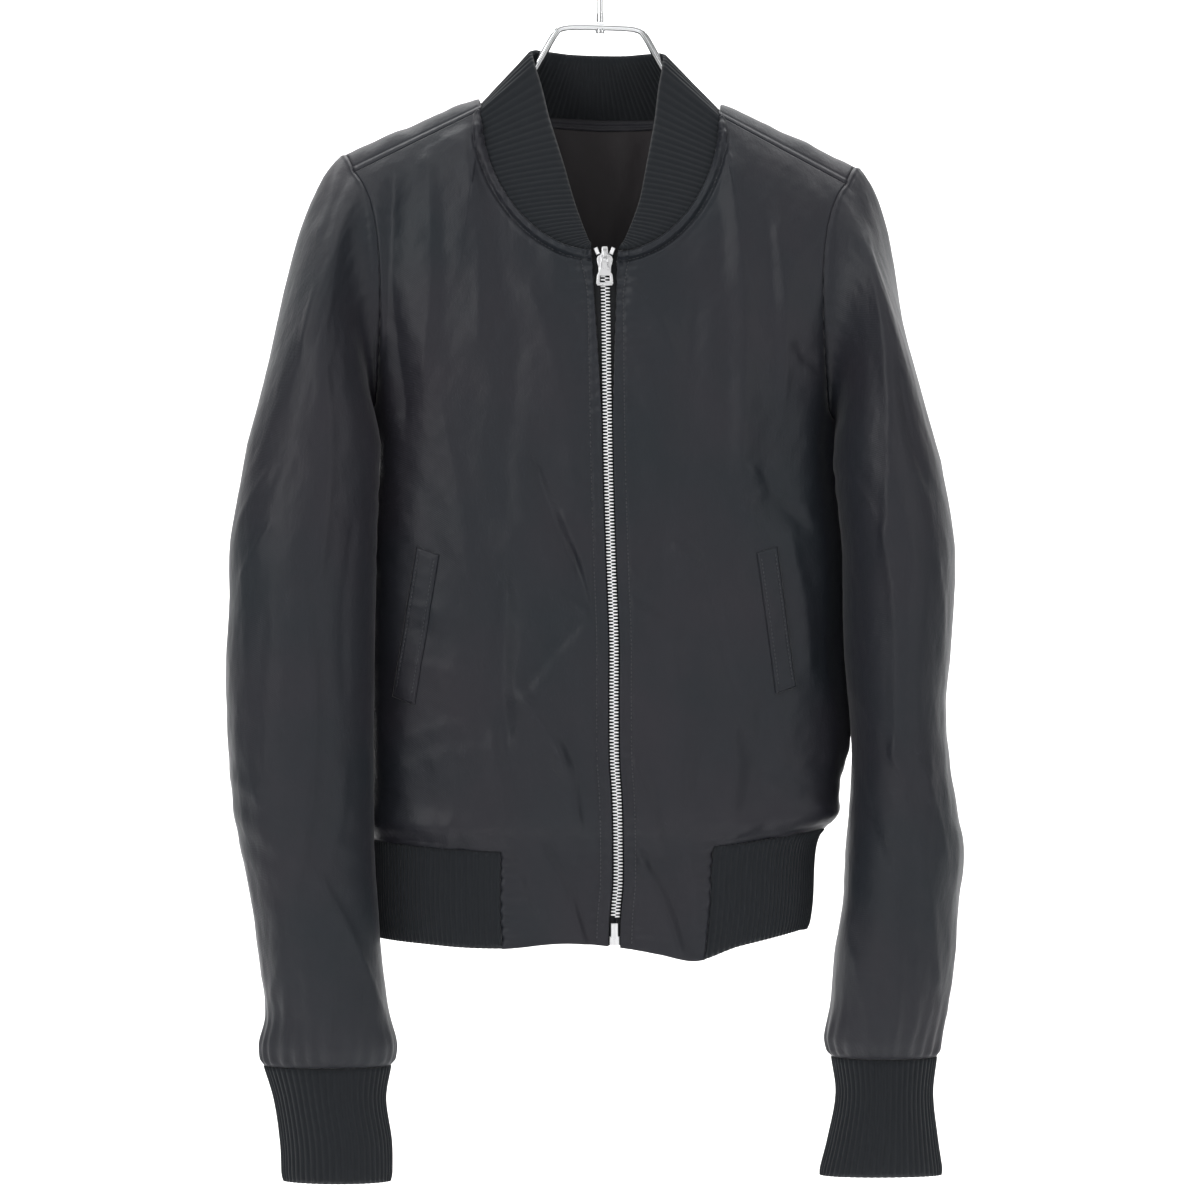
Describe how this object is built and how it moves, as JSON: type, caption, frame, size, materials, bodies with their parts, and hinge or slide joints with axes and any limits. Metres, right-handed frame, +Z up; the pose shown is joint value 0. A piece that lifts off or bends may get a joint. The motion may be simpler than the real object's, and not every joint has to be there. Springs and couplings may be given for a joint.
{
  "type": "bomber jacket on a hanger",
  "caption": "Zip-front satin bomber jacket with ribbed collar, cuffs and hem, hanging closed and hollow on a metal hanger.",
  "frame": {"origin": "inside top of the hanger's hook, where a rail carries it", "axes": "+Z up, +Y from the front of the jacket to its back, +X to the wearer's left"},
  "size_m": [0.543, 0.1536, 0.9441],
  "materials": {
    "satin": "satin",
    "rib_knit": "matte",
    "zip_tape": "matte",
    "zip_metal": "polished",
    "hanger_metal": "polished"
  },
  "bodies": {
    "garment": {"front_right": "satin", "front_left": "satin", "back": "satin", "sleeve_right": "satin", "sleeve_left": "satin", "welt_right": "satin", "welt_left": "satin", "collar": "rib_knit", "cuff_right": "rib_knit", "cuff_left": "rib_knit", "hem_rib": "rib_knit", "zip_tape_right": "zip_tape", "zip_tape_left": "zip_tape", "zip_chain": "zip_metal", "zip_slider": "zip_metal", "zip_box": "zip_metal", "zip_stop_right": "zip_metal", "zip_stop_left": "zip_metal", "hanger_frame": "hanger_metal", "hanger_hook": "hanger_metal"},
    "pull_tab": {"zip_pull": "zip_metal"}
  },
  "joints": [
    {"name": "pull_hinge", "type": "hinge", "parent": "garment", "child": "pull_tab", "pos_m": [0.00345, -0.05241, -0.26769], "axis": [-1, 0, 0], "range_deg": [0, 150]}
  ]
}
